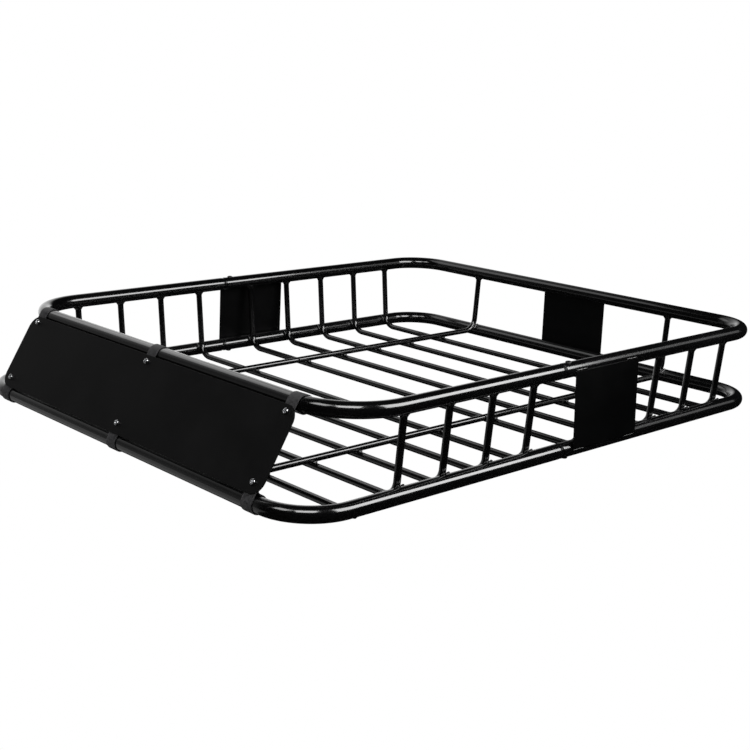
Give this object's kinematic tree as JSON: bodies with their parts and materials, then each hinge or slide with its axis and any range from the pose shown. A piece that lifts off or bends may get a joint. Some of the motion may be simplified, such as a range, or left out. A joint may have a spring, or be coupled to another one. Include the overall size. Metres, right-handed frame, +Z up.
{
  "type": "roof cargo basket",
  "caption": "Black tubular steel roof cargo basket in two bolted halves, with a rod floor, plain side panels and a sloping wind fairing at the front.",
  "frame": {"origin": "under the middle of the basket, level with the undersides of the floor bows, which rest on the roof bars", "axes": "X across the vehicle, -Y in the driving direction (the fairing's end), +Y to the rear, +Z up"},
  "size_m": [1.0022, 1.1898, 0.1711],
  "materials": {
    "gloss_black_coat": "gloss black powder coat on steel tube",
    "satin_black_plate": "satin black powder coat on sheet",
    "black_clip": "matt black",
    "bright_zinc": "bright zinc plate",
    "black_bolt": "black oxide",
    "plain_steel": "plain steel"
  },
  "bodies": {
    "root": {"front_upper_rail": "gloss_black_coat", "front_lower_rail": "gloss_black_coat", "rear_upper_rail": "gloss_black_coat", "rear_lower_rail": "gloss_black_coat", "floor_bow_1": "gloss_black_coat", "floor_bow_2": "gloss_black_coat", "floor_bow_3": "gloss_black_coat", "floor_bow_4": "gloss_black_coat", "floor_bow_5": "gloss_black_coat", "floor_bow_6": "gloss_black_coat", "floor_bow_7": "gloss_black_coat", "floor_bow_8": "gloss_black_coat", "floor_bow_9": "gloss_black_coat", "front_cross_bar": "gloss_black_coat", "runner_front_left": "gloss_black_coat", "runner_front_right": "gloss_black_coat", "runner_rear_left": "gloss_black_coat", "runner_rear_right": "gloss_black_coat", "side_panel_left": "gloss_black_coat", "side_panel_right": "gloss_black_coat", "rear_panel": "gloss_black_coat", "wind_fairing": "satin_black_plate", "clip_upper_left": "black_clip", "clip_upper_centre": "black_clip", "clip_upper_right": "black_clip", "clip_lower_left": "black_clip", "clip_lower_centre": "black_clip", "clip_lower_right": "black_clip", "fairing_screws": "bright_zinc", "fairing_nuts": "bright_zinc", "rail_joint_bolts": "black_bolt", "rail_joint_nuts": "plain_steel"}
  },
  "joints": []
}
